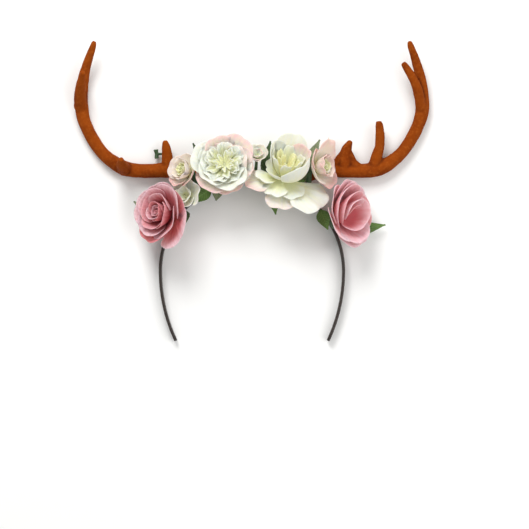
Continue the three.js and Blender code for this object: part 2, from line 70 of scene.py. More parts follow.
# Antlers: the beam is the same on both sides, the right brow tine has two limbs more for its webbed foot.
# A station is measured outwards from the middle plane, up from the crown and off the floor
ANTLER_ROOT = {"angle": 28, "radius": 6.2, "lift": 6.8, "rise": 7}
BEAM = (
    Station(51, 5.6, 7.2, 6.4),
    Station(62, 8, 9, 6.6),
    Station(77, 8, 9.4, 6.4),
    Station(93, 7.5, 8.6, 6),
    Station(108, 9.3, 7.4, 6.4),
    Station(119.5, 15.5, 6.7, 5.9),
    Station(129, 24, 6, 5.4),
    Station(138.2, 38, 5.6, 5.4),
    Station(144.4, 52, 5.7, 5.6),
    Station(146.3, 64, 5.9, 5.9),
    Station(145.6, 77, 7.4, 5.5),
    Station(143.2, 91, 10.4, 4.5),
    Station(139, 104, 14, 3.5),
    Station(135.4, 113.5, 17.4, 2.7),
    Station(134.1, 117.4, 19, 1.8),
)
TINES = {
    "right": (
        (
            Station(79, 6, 9, 6.4), Station(79.5, 17, 9.8, 6.6),
            Station(81.5, 27, 12, 4.2), Station(84.5, 33, 14, 2.1),
        ),
        (Station(68, 9, 9, 5), Station(74, 15, 9.4, 4.8), Station(79, 23, 10.8, 3.6)),
        (Station(92, 8.6, 8.8, 4.6), Station(86, 14.5, 9.4, 4.6), Station(82.5, 23, 10.8, 3.6)),
        (
            Station(105, 10, 7.6, 5.8), Station(106.8, 19.5, 8.8, 4.9), Station(109, 28, 9.6, 4.2),
            Station(109.5, 37, 11, 4.2), Station(108.9, 46, 12.2, 3.6), Station(108.3, 49.8, 12.8, 2.4),
        ),
        (
            Station(145, 62, 8, 4.8), Station(143, 70, 13, 4.4), Station(140.8, 78, 16, 4.2),
            Station(136.9, 86.5, 18, 3.9), Station(131.8, 94.6, 19.6, 3.2), Station(128.5, 99, 20.4, 2.2),
        ),
    ),
    "left": (
        (
            Station(71.5, 6, 9, 6), Station(72.3, 17, 10, 5),
            Station(73.2, 27, 12, 4), Station(74.3, 33, 14, 2.1),
        ),
        (
            Station(109, 8.8, 7.6, 6), Station(110, 10.5, 20, 5.2),
            Station(110.5, 13, 32, 4), Station(110, 16, 42, 2.2),
        ),
        (
            Station(147, 62, 6.4, 5.8), Station(146.6, 73, 17, 5),
            Station(144.8, 82, 27, 4), Station(142.6, 90, 36, 2.2),
        ),
    ),
}

# Rings of petals, from the outside in: the slope runs from rise at the hub to close at the rim, less the lip
# that rolls back, spread is each petal's share of the round, twist laps one side over the next petal, sway
# lays back the petals that face the band, turn is the bearing of the first petal, cup lifts the side edges,
# lift is the height above the flower's hub, arc the part of the round that a ring fills, depth how far the
# hub's colour runs out, and skew makes one side of a petal longer
ROSES = {
    "cream_open": (
        Ring("outer", 6, 6, 23.5, 10, 48, 30, 1.5, 2.4, 8, 96, -0.6, 1.2, 3, 0, 360, 0),
        Ring("outer", 5, 5.6, 22, 18, 44, 34, 1.5, 2, -8, 60, 0, 1.7, 2.6, 0.6, 360, 0.2),
        Ring("middle", 5, 4.8, 19, 26, 48, 36, 1.5, 1.8, -4, 86, 0.4, 2.1, 3, 1.3, 360, 0.4),
        Ring("inner", 6, 3.6, 17, 34, 56, 30, 1.1, 1.6, 0, 20, 1.2, 1.8, 2, 2.6, 360, 0.8),
        Ring("heart", 9, 2.4, 16, 34, 50, 16, 1, 0.9, 0, 40, 1.4, 2, 1.6, 3.8, 360, 0.8),
        Ring("heart", 7, 1.4, 13, 46, 66, 16, 0.9, 0.7, 0, 10, 1.2, 1.9, 1.6, 4.4, 360, 1),
    ),
    "cream_cup": (
        Ring("outer", 6, 6, 33, 6, 30, 22, 1.28, 2.4, 46, 26, 1.8, 2, 3, 0, 360, 0.5),
        Ring("outer", 3, 5.6, 20, 20, 50, 18, 1.4, 2, 44, 205, 1.4, 1.2, 2.4, 0.6, 150, 0.8),
        Ring("middle", 3, 4.8, 36, 42, 88, 10, 2, 1.8, 2, 35, 1, 1, 2, 1.3, 170, 0.7),
        Ring("middle", 2, 4.8, 38, 12, 108, 8, 1.05, 1.8, 0, 218, 5, 0.8, 1.4, 1.3, 186, 0.5, 0.22),
        Ring("inner", 6, 3.6, 24, 44, 80, 6, 0.8, 1, -4, 30, 1, 1, 1.4, 2.6, 360, 1.1),
        Ring("heart", 6, 2.4, 20, 48, 80, 6, 0.7, 0.6, -4, 10, 0.8, 1, 1.4, 3.4, 360, 0.9),
        Ring("heart", 5, 1.2, 18, 62, 84, 10, 0.7, 0.5, 0, 50, 0.6, 1, 1.4, 3.4, 360, 0.9),
    ),
    "blush": (
        Ring("outer", 5, 4.6, 17, 22, 64, 22, 1.5, 1.6, 0, 90, 0.8, 0.9, 2.4, 0, 360, 0),
        Ring("inner", 4, 3.4, 13, 50, 84, 22, 1.5, 1.1, 0, 40, 0.6, 0.8, 2.4, 1.3, 360, 0.3),
        Ring("heart", 4, 2, 9.5, 60, 92, 36, 1.4, 0.7, 0, 10, 0.5, 0.7, 2.6, 2.1, 360, 0.5),
        Ring("heart", 3, 0.9, 9, 74, 98, 44, 1.4, 0.6, 0, 40, 0.4, 0.6, 2.6, 2.1, 360, 0.7),
    ),
    # In both pink kinds the hub colour is painted shade of the deep folds, so depth sets how far that shade
    # runs out over each petal
    "pink": (
        Ring("outer", 5, 5.6, 27, 12, 54, 32, 1.55, 2.4, 14, 90, -0.8, 0.9, 2, 0, 360, 0),
        Ring("outer", 4, 5.2, 24, 26, 62, 34, 1.5, 2.2, 8, 54, 0, 0.9, 2, 0.6, 360, 0.2),
        Ring("middle", 4, 4.4, 22, 42, 80, 24, 1.6, 2.2, 0, 80, 0.6, 0.8, 2, 1.3, 360, 0.5),
        Ring("inner", 3, 3.3, 18, 58, 94, 16, 1.8, 1.8, 0, 15, 0.8, 0.6, 1.6, 2.6, 360, 0.8),
        Ring("heart", 3, 2, 14.5, 66, 98, 20, 1.9, 1.4, 0, 70, 0.6, 0.5, 1.6, 3.4, 360, 1),
        Ring("heart", 2, 0.9, 13.5, 78, 102, 20, 1.8, 1, 0, 0, 0.4, 0.4, 1.6, 3.4, 360, 1),
    ),
    "pink_fold": (
        Ring("outer", 5, 5.6, 27, 12, 54, 32, 1.55, 2.4, 0, 90, -0.8, 0.7, 2, 0, 360, 0),
        Ring("outer", 3, 5.2, 27, 20, 62, 26, 1.7, 2, 0, 20, -0.4, 0.5, 1.6, 0.4, 200, 0.1),
        Ring("outer", 1, 8, 23, 36, 70, 0, 1.1, 0, 0, 232, -2, 0.2, 1, 0.6, 170, 0, -0.42),
        Ring("middle", 1, 5, 22, 40, 76, 4, 1.1, 0, 0, 46, -2, 0.3, 1.2, 1.3, 170, 0.9, 0.3),
        Ring("middle", 1, 6, 22.5, 50, 80, 0, 1.1, 0, 0, 226, -2, 0.2, 1, 1.3, 170, 0.6, -0.42),
        Ring("inner", 1, 3.8, 21, 62, 86, 0, 1.1, 0, 0, 220, -2, 0.2, 1, 2.6, 170, 0.3, -0.42),
        Ring("heart", 1, 2, 18, 72, 90, 0, 1.1, 0, 0, 214, -1.6, 0.2, 1, 3.4, 170, 0.9, -0.4),
    ),
    "bud": (
        Ring("petals", 4, 3.4, 13, 26, 72, 14, 1.5, 1.3, 0, 45, 0.6, 1, 2.4, 0, 360, 0),
        Ring("petals", 3, 2, 10.5, 50, 88, 16, 1.4, 0.9, 0, 20, 0.5, 0.9, 2.4, 0.5, 360, 0),
    ),
}
# Flowers: angle of the foot along the band from the crown, hub point, facing as heading clockwise from +Y
# and tilt from +Z, radius of the calyx ball and scale of the petals; by ring, trims are petal lengths and
# blush the bearings of tinted rims
FLOWERS = (
    Flower(
        "cream_rose_left", "cream_open", -16.5, (-22.7, 10, 32), -12, 16, 4.5, 1,
        {0: (1, 1.12, 1, 0.84, 0.9, 1)}, {0: (250, 60), 1: (30,), 2: (55,)},
    ),
    Flower(
        "cream_rose_right", "cream_cup", 19, (26.5, 1, 30), 14, 50, 4.5, 1,
        {0: (0.4, 0.4, 0.5, 0.88, 0.8, 1.12), 2: (0.9, 1, 0.9), 3: (0.42, 0.96)}, {0: (232,), 2: (20,)},
    ),
    Flower(
        "blush_rose_left", "blush", -36, (-53, 5.5, 29), -70, 50, 3.2, 1,
        {0: (1, 0.9, 0.7, 0.55, 0.75)}, {0: (190,)},
    ),
    Flower(
        "blush_rose_right", "blush", 37, (54, 9, 29), 82, 57, 3.2, 1.1,
        {0: (0.85, 1.3, 0.85, 0.85, 1.05)}, {},
    ),
    Flower(
        "pink_rose_left", "pink", -60, (-70.4, -29.9, 25.5), -80, 44, 4, 1,
        {0: (1, 1, 1.05, 0.72, 0.92)}, {},
    ),
    Flower("pink_rose_right", "pink_fold", 60, (73.8, -30.9, 26), 80, 52, 4, 1, {}, {}),
    Flower(
        "bud_left", "bud", -43, (-55.5, -14.5, 24), -60, 20, 2.4, 1.15,
        {0: (0.85, 0.7, 0.75, 1.2)}, {2: (0,)},
    ),
    Flower("bud_crown", "bud", 2, (4.4, 19, 31), 5, 30, 2.4, 0.7, {}, {}),
)
# Shares that all petals have in common: where the lip starts to roll, the filled part of the round at the
# hub, the fall of a petal's shoulders and the part of the grid that closes the hub
LIP_FROM = 0.6
HUB_FILL = 0.86
SHOULDER = 0.3
HUB_PART = 0.14
LINE_STEPS = 12
PETAL_GRID = 14
# Calyxes: rows of rise and radius as shares of the ball, then of drop and radius as shares of the hub
CALYX_REACH = 2
CALYX_UNDER = 0.5
CALYX_BALL = ((-0.98, 0.2), (-0.6, 0.8), (0, 1), (0.7, 0.7))
CALYX_CUP = ((0.8, 0.45), (0, 0.85))
# Leaves: angle of the foot along the band, heading clockwise from +Y, pitch up from the floor plane; a lift
# seats the stalk on the band's outer face, and without one it lies over the front edge
STALK_HALF = 0.7
STALK_SEAT = 1
LEAVES = (
    Leaf("leaf_crown", "leaf_dark", 9, 6, 8, 34, 13, 3, None),
    Leaf("leaf_left_top", "leaf_dark", -24, -26, 7, 42, 12, 1, None),
    Leaf("leaf_right_top", "leaf_grey", 28, 26, 5, 48, 14, 1, None),
    Leaf("leaf_right_side", "leaf", 26, 56, 44, 18, 12, 2, None),
    Leaf("leaf_left_low", "leaf", -26, -124, 22, 23, 12, 2, None),
    Leaf("leaf_left_pale", "leaf_grey", -21, 190, 26, 15, 11, 2, None),
    Leaf("leaf_right_low", "leaf", 12, 172, 16, 30, 12, 2, None),
    Leaf("leaf_bud", "leaf_dark", -48, 176, 20, 14, 11, 2, None),
    Leaf("leaf_pink_left", "leaf_grey", -62, -54, 2, 38, 15, 2, 6),
    Leaf("leaf_pink_right_in", "leaf", 48, 160, 24, 20, 12, 2, None),
    Leaf("leaf_pink_right_out", "leaf", 66, 80, 2, 42, 12, 2, 6),
)
# Sprig: a wire stalk under the left antler and its crossbar of two small buds
SPRIG = (
    (Station(57, -21.5, 6, 0.8), Station(62.5, -10, 1.4, 0.8), Station(67.5, 4, 1.2, 0.8),
     Station(71, 16, 2, 0.8), Station(75, 21.5, 4, 0.9), Station(81.5, 22.2, 5, 1.2)),
    (Station(82.4, 26, 5.2, 2.2), Station(82, 22.2, 5, 1.4), Station(81.6, 18.2, 4.8, 2)),
)
# Area lights: name, place and size in metres, power in watts
LIGHTS = (
    ("key", (-0.35, 1.0, 1.1), 0.7, 16.8),
    ("fill", (0.9, -0.1, 1.2), 1.2, 8),
)
# Pairs of knots between which each round of a smooth curve's blending runs
KNOT_SPANS = (((0, 1), (1, 2), (2, 3)), ((0, 2), (1, 3)), ((1, 2),))


def linear(code):
    """Linear colour of a hex sRGB code."""
    parts = [int(code[k:k + 2], 16) / 255 for k in (0, 2, 4)]
    return tuple(p / 12.92 if p <= 0.04045 else ((p + 0.055) / 1.055) ** 2.4 for p in parts)


def length(name, description, default):
    """A size property in metres."""
    return bpy.props.FloatProperty(
        name=name, description=description, default=default, unit="LENGTH", precision=5
    )


def amount(name, description, default):
    """A plain number property."""
    return bpy.props.FloatProperty(name=name, description=description, default=default)


def colour(name, description, code):
    """A colour property from a hex code."""
    return bpy.props.FloatVectorProperty(
        name=name, description=description, subtype="COLOR", size=3, min=0, max=1, default=linear(code)
    )


class BandSizes(bpy.types.PropertyGroup):
    """Sizes and colour of the hair band."""
    crown_radius: length("Crown radius", "Radius of the arc over the crown", 0.0785)
    leg_radius: length("Leg radius", "Radius of the bend of each leg", 0.14)
    leg_sweep: bpy.props.FloatProperty(
        name="Leg sweep", description="Turn of each leg inwards", default=math.radians(24), subtype="ANGLE"
    )
    thickness: length("Thickness", "Thickness of the strip", 0.0026)
    crown_width: length("Crown width", "Width of the strip over the crown", 0.014)
    end_width: length("End width", "Width of the strip at its ends", 0.009)
    tip: length("Tip", "Length of the narrowed tip past each end", 0.003)
    edge: length("Edge", "Rounding of the strip's edges", 0.0006)
    satin: colour("Satin", "Colour of the ribbon wrap", "1e140c")


class AntlerLook(bpy.types.PropertyGroup):
    """Surface of the flocked antlers."""
    voxel: length("Voxel", "Grain of the remesh that joins the tines to the beam", 0.0009)
    unevenness: length("Unevenness", "Height of the moulded unevenness", 0.0009)
    flock: colour("Flock", "Body colour of the flock", "8e4009")
    light: colour("Rubbed flock", "Colour where the pile catches light", "a4541a")
    dark: colour("Deep flock", "Colour of the flock's shaded mottling", "742e04")
    # Painted shade: the crease colour darkens the flock in the hollows between tines to stand in for their
    # shadow
    crease: colour("Crease", "Colour of the flock in the creases between tines", "561f04")


class PetalForm(bpy.types.PropertyGroup):
    """Form that all petals share."""
    wall: length("Cloth", "Thickness of the petal cloth", 0.00055)
    dent: amount("Dent", "Share of the rim's dent in a petal's middle", 0.05)
    variety: amount("Variety", "Random share in petal lengths", 0.06)
    stray: amount("Stray", "Random turn of a petal in degrees", 6.0)
    droop: amount("Droop", "Random slope of a petal in degrees", 4.0)


class RoseColours(bpy.types.PropertyGroup):
    """Colours of the roses."""
    cream: colour("Cream", "Body of the cream petals", "e3e6db")
    cream_hub: colour("Cream hub", "Cream petals near the hub", "e8e9b6")
    cream_blush: colour("Cream blush", "Tinted rims of some cream petals", "eab8bc")
    blush: colour("Blush", "Body of the small roses' petals", "efe5da")
    blush_hub: colour("Blush hub", "Small roses near the hub", "e3dcae")
    blush_rim: colour("Blush rim", "Tinted rims of the small roses", "e0a6a8")
    pink: colour("Pink", "Body of the pink petals", "d0686e")
    # Painted shade: the pink roses' hub colour is a deep crimson that stands in for the shadow deep among
    # their folds
    pink_hub_shade: colour("Pink hub", "Deep folds of the pink roses", "96262f")
    fold: colour("Fold", "Body of the folded rose's paler petals", "dd9094")
    pink_rim: colour("Pink rim", "Pale rims of the pink petals", "e6bec6")
    heart: colour("Heart", "Folded petals in the cream hearts", "f7f7cc")
    bowl: colour("Bowl", "Yellow petals in the cupped rose", "f4ebae")
    calyx: colour("Calyx", "Green of calyxes and stalks", "3f5d38")


class LeafLook(bpy.types.PropertyGroup):
    """Form and colours of the leaves."""
    wall: length("Cloth", "Thickness of the leaf cloth", 0.0006)
    crease: amount("Crease", "Rise of the halves beside the midrib", 0.25)
    teeth: bpy.props.IntProperty(name="Teeth", description="Teeth along each edge", default=11)
    bite: amount("Bite", "Depth of the teeth as a share of the width", 0.06)
    leaf: colour("Leaf", "Fresh green leaves", "638440")
    leaf_dark: colour("Dark leaf", "Dark green leaves", "4a623c")
    leaf_grey: colour("Grey leaf", "Grey-green leaves", "8d9a76")


class StageLook(bpy.types.PropertyGroup):
    """Floor, light and camera."""
    floor: colour("Floor", "Colour of the floor", "f7f7f5")
    camera_height: length("Camera height", "Height of the camera above the floor", 2.0)
    camera_x: length("Camera X", "Camera's place across", 0.01075)
    camera_y: length("Camera Y", "Camera's place along", -0.07267)
    lens: amount("Lens", "Focal length in millimetres", 158.26)
    sensor: amount("Sensor", "Width of the camera's sensor in millimetres", 36.0)
    daylight: amount("Daylight", "Strength of the even white light all round", 0.55)


def deselect():
    """Nothing selected, in object mode."""
    if bpy.context.object and bpy.context.object.mode != "OBJECT":
        bpy.ops.object.mode_set(mode="OBJECT")
    bpy.ops.object.select_all(action="DESELECT")


def edit_all(piece):
    """Edit mode with the whole mesh selected."""
    bpy.context.view_layer.objects.active = piece
    bpy.ops.object.mode_set(mode="EDIT")
    bpy.ops.mesh.select_all(action="SELECT")


def use_modifier(piece, kind, **settings):
    """Adds a modifier with these settings and applies it."""
    modifier = piece.modifiers.new(kind.title(), kind)
    for key, value in settings.items():
        setattr(modifier, key, value)
    bpy.context.view_layer.objects.active = piece
    bpy.ops.object.modifier_apply(modifier=modifier.name)


def join(pieces):
    """One mesh from several."""
    deselect()
    for piece in pieces:
        piece.select_set(True)
    bpy.context.view_layer.objects.active = pieces[0]
    if len(pieces) > 1:
        bpy.ops.object.join()
    return pieces[0]


def settle(piece):
    """The piece's place goes into its mesh, and its faces point outwards."""
    deselect()
    piece.select_set(True)
    bpy.context.view_layer.objects.active = piece
    bpy.ops.object.transform_apply(location=True, rotation=True, scale=True)
    edit_all(piece)
    bpy.ops.mesh.normals_make_consistent(inside=False)
    bpy.ops.object.mode_set(mode="OBJECT")
    bpy.ops.object.shade_smooth()


def dress(piece, node, material):
    """The finished piece stands for its node."""
    piece.name = f"{node}_dressed"
    piece.data.name = piece.name
    piece.data.materials.clear()
    piece.data.materials.append(material)
    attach(piece, "root")
    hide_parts(node)
    return piece


def smooth_step(low, high, value):
    """Smooth share of the way from low to high."""
    share = min(max((value - low) / (high - low), 0), 1)
    return share * share * (3 - 2 * share)


def band_place(angle):
    """Middle of the band at an angle from the crown, its outward direction and the strip's width."""
    band = bpy.context.scene.headpiece_band
    side = math.copysign(1, angle)
    crown = min(abs(angle), math.pi / 2)
    bend = max(abs(angle) - math.pi / 2, 0)
    middle = Vector((
        side * (band.crown_radius * math.sin(crown) - band.leg_radius * (1 - math.cos(bend))),
        band.crown_radius * (math.cos(crown) - 1) - band.leg_radius * math.sin(bend),
        0,
    ))
    return middle, Vector((math.sin(angle), math.cos(angle), 0)), band_width(angle)


def band_width(angle):
    """Width of the strip at an angle from the crown."""
    band = bpy.context.scene.headpiece_band
    share = smooth_step(math.radians(50), math.pi / 2 + band.leg_sweep, abs(angle))
    return band.crown_width + (band.end_width - band.crown_width) * share


def smooth_point(quad, part):
    """Point between the two middle points of four, on the smooth curve through them."""
    knots = [0]
    for first, second in zip(quad, quad[1:]):
        knots.append(knots[-1] + math.sqrt((second - first).length))
    place = knots[1] + (knots[2] - knots[1]) * part
    for spans in KNOT_SPANS:
        quad = [
            quad[k].lerp(quad[k + 1], (place - knots[low]) / (knots[high] - knots[low]))
            for k, (low, high) in enumerate(spans)
        ]
    return quad[0]


def path_rings(stations, steps):
    """Centres, headings and radii along a smooth path through stations of point and radius."""
    points = [point for point, _ in stations]
    points = [2 * points[0] - points[1], *points, 2 * points[-1] - points[-2]]
    spans = len(stations) - 1
    centres = []
    radii = []
    for step in range(steps + 1):
        run = step / steps * spans
        span = min(int(run), spans - 1)
        centres.append(smooth_point(points[span:span + 4], run - span))
        radii.append(stations[span][1] + (stations[span + 1][1] - stations[span][1]) * (run - span))
    ahead = [centres[min(n + 1, steps)] - centres[max(n - 1, 0)] for n in range(steps + 1)]
    return [(centre, way.normalized(), radius) for centre, way, radius in zip(centres, ahead, radii)]


def limb(stations, steps, sides):
    """Round tapering limb: a disc extruded along its path, turned and resized at each step."""
    rings = path_rings(stations, steps)
    centre, heading, radius = rings[0]
    deselect()
    bpy.ops.mesh.primitive_circle_add(
        vertices=sides, radius=radius, fill_type="NGON", location=centre,
        rotation=heading.to_track_quat("Z", "Y").to_euler(),
    )
    piece = bpy.context.object
    edit_all(piece)
    for (start, before, size), (end, after, reach) in zip(rings, rings[1:]):
        bpy.ops.mesh.extrude_region_move(TRANSFORM_OT_translate={"value": end - start})
        axis, angle = before.rotation_difference(after).to_axis_angle()
        if angle > 1e-4:
            bpy.ops.transform.rotate(
                value=-angle, orient_axis="Z", orient_matrix=axis.to_track_quat("Z", "Y").to_matrix(),
                center_override=end,
            )
        bpy.ops.transform.resize(value=(reach / size,) * 3, center_override=end)
    bpy.ops.object.mode_set(mode="OBJECT")
    settle(piece)
    return piece


def mark_hollows(piece, rounds):
    """Keeps each point's depth below the smoothed skin as the piece's hollow attribute, the mask for the
    flock's painted crease shade.
    """
    hollow = piece.data.attributes.new("hollow", "FLOAT", "POINT")
    calm = piece.copy()
    calm.data = piece.data.copy()
    bpy.context.collection.objects.link(calm)
    use_modifier(calm, "SMOOTH", factor=0.5, iterations=rounds)
    for vertex, calmed in zip(piece.data.vertices, calm.data.vertices):
        hollow.data[vertex.index].value = (calmed.co - vertex.co).dot(vertex.normal)
    bpy.data.meshes.remove(calm.data)


def stations_of(rows, side):
    """Points and radii in metres of a table of stations."""
    return [(Vector((side * row.out, row.up, row.lift)) * MM, row.radius * MM) for row in rows]


def flower_frame(flower):
    """Matrix of a flower's own frame: hub at its origin, facing along Z."""
    turn = Matrix.Rotation(-math.radians(flower.heading), 4, "Z")
    tilt = Matrix.Rotation(-math.radians(flower.tilt), 4, "X")
    return Matrix.Translation(Vector(flower.hub) * MM) @ turn @ tilt


def petal_slope(ring, lean, t):
    """Slope of a petal above its hub's plane at a fraction of its length."""
    roll = max(0, (t - LIP_FROM) / (1 - LIP_FROM))
    return math.radians(ring.rise + lean + (ring.close - ring.rise) * t - ring.lip * roll * roll)


def petal_line(ring, lean, t):
    """Distance from the axis and height above the hub of a petal's middle line."""
    stride = ring.length * t / LINE_STEPS
    out = ring.hub
    up = 0
    for step in range(LINE_STEPS):
        slope = petal_slope(ring, lean, t * (step + 0.5) / LINE_STEPS)
        out += stride * math.cos(slope)
        up += stride * math.sin(slope)
    return out, up


def petal(flower, ring, trim, blush, chance, number):
    """One petal: a grid laid out from the flower's axis to the rim, cupped, lapped and ruffled."""
    form = bpy.context.scene.headpiece_petals
    stray = form.stray * ring.ruffle
    droop = form.droop * ring.ruffle
    bearing = ring.turn + ring.arc * number / ring.petals + chance.uniform(-stray, stray)
    heading = math.radians(bearing)
    lean = ring.sway * math.sin(heading) + chance.uniform(-droop, droop)
    trim *= 1 + chance.uniform(-1, 1) * form.variety * ring.ruffle
    phase = chance.uniform(0, 2 * math.pi)
    ruffle = ring.ruffle * chance.uniform(0.7, 1.2)
    deselect()
    bpy.ops.mesh.primitive_grid_add(x_subdivisions=PETAL_GRID, y_subdivisions=PETAL_GRID, size=2)
    piece = bpy.context.object
    for vertex in piece.data.vertices:
        s = vertex.co.x
        run = (vertex.co.y + 1) / 2
        t = max(0, (run - HUB_PART) / (1 - HUB_PART))
        edge = 1 - SHOULDER * abs(s) ** 3 - form.dent * max(0, 1 - abs(s) * 3) ** 2
        t *= edge * trim * (1 + ring.skew * s)
        slope = petal_slope(ring, lean, t)
        out, up = petal_line(ring, lean, t)
        out *= min(run / HUB_PART, 1)
        fill = HUB_FILL + (ring.spread - HUB_FILL) * math.sin(math.pi * 0.7 * t)
        wave = ruffle * t ** 2 * math.sin(ring.waves * math.pi * s + phase)
        lap = (ring.twist * s + ring.cup * s * s) * t + wave
        point = Vector((out - lap * math.sin(slope), 0, up + lap * math.cos(slope) + ring.lift))
        turn = heading + s * fill * math.radians(ring.arc) / 2 / ring.petals
        vertex.co = Matrix.Rotation(turn, 3, "Z") @ point * flower.size * MM
    tint = tint_of(flower, ring, blush, bearing, chance)
    for name, value in (("tint", tint), ("depth", ring.depth)):
        attribute = piece.data.attributes.new(name, "FLOAT", "POINT")
        for item in attribute.data:
            item.value = value
    use_modifier(piece, "SOLIDIFY", thickness=form.wall, offset=0, use_even_offset=True)
    use_modifier(piece, "SUBSURF", levels=1, render_levels=1)
    return piece


def tint_of(flower, ring, blush, bearing, chance):
    """How much of the rim colour a petal takes."""
    share = chance.random() * (1 - 0.6 * ring.depth)
    if not flower.blush:
        return share
    if blush is None:
        return 0
    away = min(abs((bearing - side + 180) % 360 - 180) for side in blush)
    return min(1, max(0, 1.6 - away / 45))


class Nodes:
    """A material's node tree, built link by link."""

    def __init__(self, name):
        self.material = bpy.data.materials.new(name)
        self.material.use_nodes = True
        self.tree = self.material.node_tree
        self.shader = self.tree.nodes["Principled BSDF"]

    def add(self, kind, inputs=None, **settings):
        """New node with its settings, and inputs as values or sockets."""
        node = self.tree.nodes.new(kind)
        for key, value in settings.items():
            setattr(node, key, value)
        for key, value in (inputs or {}).items():
            self.put(node.inputs[key], value)
        return node

    def put(self, socket, value):
        """A value or a link into a socket."""
        if isinstance(value, bpy.types.NodeSocket):
            self.tree.links.new(value, socket)
        elif hasattr(value, "__len__") and len(value) == 3 and socket.type == "RGBA":
            socket.default_value = (*value, 1)
        else:
            socket.default_value = value

    def mix(self, share, first, second):
        """Colour between two, by a share."""
        node = self.add("ShaderNodeMix", data_type="RGBA")
        self.put(node.inputs[0], share)
        self.put(node.inputs[6], first)
        self.put(node.inputs[7], second)
        return node.outputs[2]

    def span(self, value, low, high, first=0.0, last=1.0):
        """Value mapped smoothly from one range to another."""
        node = self.add(
            "ShaderNodeMapRange",
            {"Value": value, "From Min": low, "From Max": high, "To Min": first, "To Max": last},
            interpolation_type="SMOOTHSTEP",
        )
        return node.outputs["Result"]

    def times(self, first, second):
        """Product of two values."""
        node = self.add("ShaderNodeMath", operation="MULTIPLY")
        self.put(node.inputs[0], first)
        self.put(node.inputs[1], second)
        return node.outputs[0]

    def noise(self, vector, scale, detail=3.0, roughness=0.55):
        """Noise value over a vector."""
        node = self.add(
            "ShaderNodeTexNoise", {"Vector": vector, "Scale": scale, "Detail": detail, "Roughness": roughness}
        )
        return node.outputs["Fac"]

    def sum(self, first, second):
        """Sum of two values."""
        return self.add("ShaderNodeMath", {0: first, 1: second}, operation="ADD").outputs[0]

    def less(self, first, second):
        """First value less the second."""
        return self.add("ShaderNodeMath", {0: first, 1: second}, operation="SUBTRACT").outputs[0]

    def stretch(self, vector, scale):
        """Vector scaled along its axes."""
        return self.add("ShaderNodeMapping", {"Vector": vector, "Scale": scale}).outputs[0]

    def kept(self, name):
        """Value of one of the mesh's own attributes."""
        return self.add("ShaderNodeAttribute", attribute_name=name).outputs["Fac"]

    def bump(self, height, distance, strength=1.0, normal=None):
        """Bump normal from a height."""
        inputs = {"Height": height, "Distance": distance, "Strength": strength}
        if normal is not None:
            inputs["Normal"] = normal
        return self.add("ShaderNodeBump", inputs).outputs["Normal"]

    def finish(self, **sockets):
        """Sets the shader's sockets by name, underscores for spaces."""
        for key, value in sockets.items():
            self.put(self.shader.inputs[key.replace("_", " ")], value)
        return self.material


def petal_cloth(name, hub, body, rim, rim_from, tinted, streaks):
    """Cloth that runs from hub to rim colour along each petal, with pressed veins and a fine weave."""
    tree = Nodes(name)
    place = tree.add("ShaderNodeTexCoord").outputs["Object"]
    across = tree.add("ShaderNodeUVMap", uv_map="UVMap").outputs["UV"]
    parts = tree.add("ShaderNodeSeparateXYZ", {"Vector": across}).outputs
    veins = tree.noise(tree.stretch(across, (34, 2.4, 1)), 1.0, 2.0)
    folds = tree.noise(tree.stretch(across, (11, 1.1, 1)), 1.0, 2.0)
    mottle = tree.noise(place, 90.0)
    weave = tree.noise(place, 2600.0, 1.0)
    run = tree.sum(parts["Y"], tree.times(mottle, 0.16))
    inward = tree.less(run, tree.times(tree.kept("depth"), 0.5))
    base = tree.mix(tree.span(inward, 0.12, 0.6), hub, body)
    rim_share = tree.times(tree.span(run, rim_from, 1.1), tree.span(tree.kept("tint"), *tinted))
    shade = tree.mix(rim_share, base, rim)
    shade = tree.mix(tree.span(veins, 0.35, 0.75, 0.0, 0.14), shade, hub)
    shade = tree.mix(tree.span(folds, 0.42, 0.7, 0.0, streaks), shade, hub)
    normal = tree.bump(folds, 0.001, 0.5)
    normal = tree.bump(veins, 0.0005, 0.35, normal)
    normal = tree.bump(weave, 0.00012, 0.5, normal)
    return tree.finish(
        Base_Color=shade, Normal=normal, Roughness=0.82, Sheen_Weight=0.12, Sheen_Roughness=0.5,
        Subsurface_Weight=0.6, Subsurface_Radius=(1.0, 0.85, 0.7), Subsurface_Scale=0.003,
        Specular_IOR_Level=0.25,
    )


def leaf_cloth(name, body):
    """Stamped leaf cloth with a pale midrib, side veins and a dull weave."""
    tree = Nodes(name)
    place = tree.add("ShaderNodeTexCoord").outputs["Object"]
    across = tree.add("ShaderNodeUVMap", uv_map="UVMap").outputs["UV"]
    parts = tree.add("ShaderNodeSeparateXYZ", {"Vector": across}).outputs
    offset = tree.less(parts["X"], 0.5)
    away = tree.add("ShaderNodeMath", {0: offset}, operation="ABSOLUTE").outputs[0]
    slant = tree.less(parts["Y"], tree.times(away, 0.45))
    ribs = tree.add("ShaderNodeMath", {0: tree.times(slant, 56.0)}, operation="SINE").outputs[0]
    side_veins = tree.span(ribs, 0.8, 1.0)
    midrib = tree.span(away, 0.035, 0.01)
    veins = tree.add("ShaderNodeMath", {0: side_veins, 1: midrib}, operation="MAXIMUM").outputs[0]
    mottle = tree.noise(place, 120.0)
    pale = tuple(min(c * 1.7 + 0.03, 1) for c in body)
    deep = tuple(c * 0.6 for c in body)
    shade = tree.mix(tree.span(mottle, 0.3, 0.7), deep, body)
    shade = tree.mix(tree.times(veins, 0.45), shade, pale)
    normal = tree.bump(veins, 0.0004, 0.6)
    normal = tree.bump(tree.noise(place, 2200.0, 1.0), 0.00012, 0.5, normal)
    return tree.finish(
        Base_Color=shade, Normal=normal, Roughness=0.62, Sheen_Weight=0.1, Specular_IOR_Level=0.35
    )


